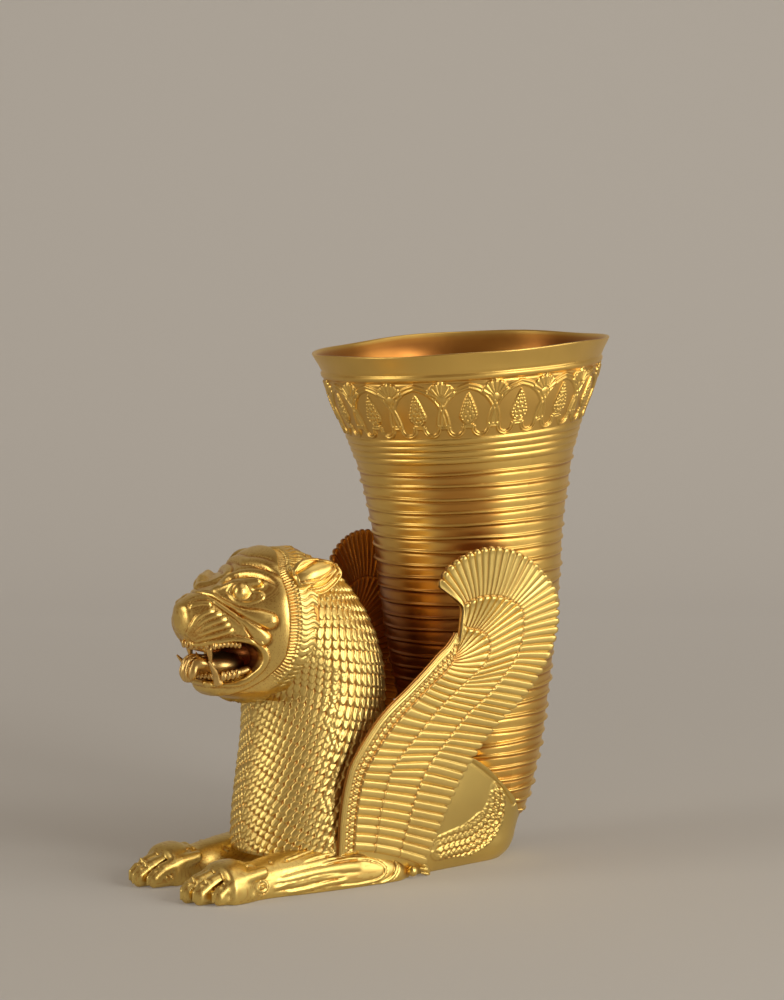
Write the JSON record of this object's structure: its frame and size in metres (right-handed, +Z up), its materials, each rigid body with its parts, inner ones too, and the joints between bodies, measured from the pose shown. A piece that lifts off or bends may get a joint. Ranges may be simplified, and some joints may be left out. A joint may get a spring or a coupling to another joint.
{
  "type": "rhyton drinking cup",
  "caption": "Drinking horn with a flared ringed cup that grows out of the back of a crouching winged lion, resting on its belly and forelegs.",
  "frame": {"origin": "middle of the bounding box's bottom face, on the table under the middle of the length", "axes": "+Z up towards the cup's mouth, the lion looks along -Y, its left flank is +X"},
  "size_m": [0.126, 0.2133, 0.2217],
  "materials": {
    "gold_cup": "hammered and polished gold sheet with raised rings",
    "gold_body": "smooth soft-polished gold sheet",
    "gold_mane": "chased gold sheet with small overlapping tufts",
    "gold_face": "smooth polished gold sheet with chased folds",
    "gold_mouth": "duller gold inside the mouth",
    "gold_wing": "chased gold sheet with rows of round-ended feathers"
  },
  "bodies": {
    "root": {"cup_wall": "gold_cup", "cup_floor": "gold_cup", "body_shell": "gold_body", "belly_plate": "gold_body", "chest_mane": "gold_mane", "mane_ruff": "gold_mane", "face_mask": "gold_face", "palate": "gold_mouth", "tongue": "gold_mouth", "upper_teeth": "gold_mouth", "lower_teeth": "gold_mouth", "ear_left": "gold_face", "ear_right": "gold_face", "wing_left": "gold_wing", "wing_right": "gold_wing", "foreleg_left": "gold_body", "foreleg_right": "gold_body"}
  },
  "joints": []
}
